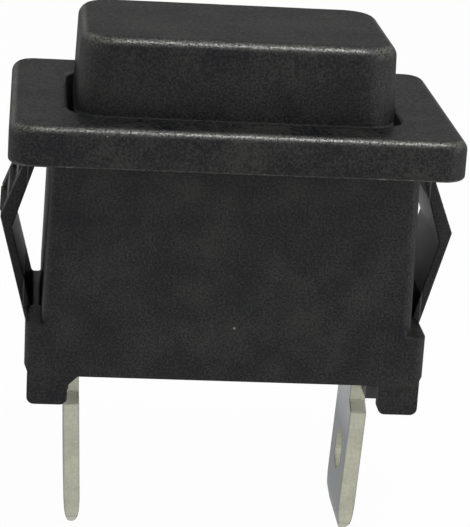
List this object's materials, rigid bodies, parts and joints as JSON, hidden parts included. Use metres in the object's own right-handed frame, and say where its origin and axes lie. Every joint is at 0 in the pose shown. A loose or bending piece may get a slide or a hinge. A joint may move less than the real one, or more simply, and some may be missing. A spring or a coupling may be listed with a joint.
{
  "type": "pushbutton switch",
  "caption": "Snap-in momentary pushbutton switch with a rectangular bezel, a tall rectangular button, bent snap arms and flat tab terminals with eyes.",
  "frame": {"origin": "centre of the panel cut-out, on the panel's front plane, which is the underside of the bezel", "axes": "+X along the long side of the bezel, +Y along its short side, +Z out of the panel through the button, so the button is pressed along -Z"},
  "size_m": [0.0218, 0.015, 0.0252],
  "materials": {
    "housing_plastic": "black nylon with a fine spark-eroded grain",
    "base_plastic": "black nylon, plain moulded",
    "button_plastic": "black nylon with a fine spark-eroded grain",
    "plunger_plastic": "natural acetal, plain moulded",
    "spring_steel": "drawn spring wire",
    "bridge_brass": "stamped brass strip",
    "contact_alloy": "silver alloy rivet",
    "tinned_brass": "stamped brass strip with a dull tin plating"
  },
  "bodies": {
    "root": {"housing": "housing_plastic", "terminal_base": "base_plastic", "return_spring": "spring_steel", "terminal_left": "tinned_brass", "terminal_right": "tinned_brass", "fixed_contact_left": "contact_alloy", "fixed_contact_right": "contact_alloy"},
    "button": {"button": "button_plastic", "plunger": "plunger_plastic"},
    "bridge": {"contact_bridge": "bridge_brass", "bridge_contact_left": "contact_alloy", "bridge_contact_right": "contact_alloy", "contact_spring": "spring_steel"}
  },
  "joints": [
    {"name": "button_press", "type": "slide", "parent": "root", "child": "button", "axis": [0, 0, -1], "range_m": [0, 0.0026], "stiffness_N_per_m": 220, "springref_m": -0.004, "deforming": ["return_spring"]},
    {"name": "bridge_slide", "type": "slide", "parent": "root", "child": "bridge", "axis": [0, 0, -1], "range_m": [0, 0.0018], "deforming": ["contact_spring"]}
  ],
  "couplings": [
    {"joint": "bridge_slide", "follows": "button_press", "ratio": 0.6923}
  ]
}
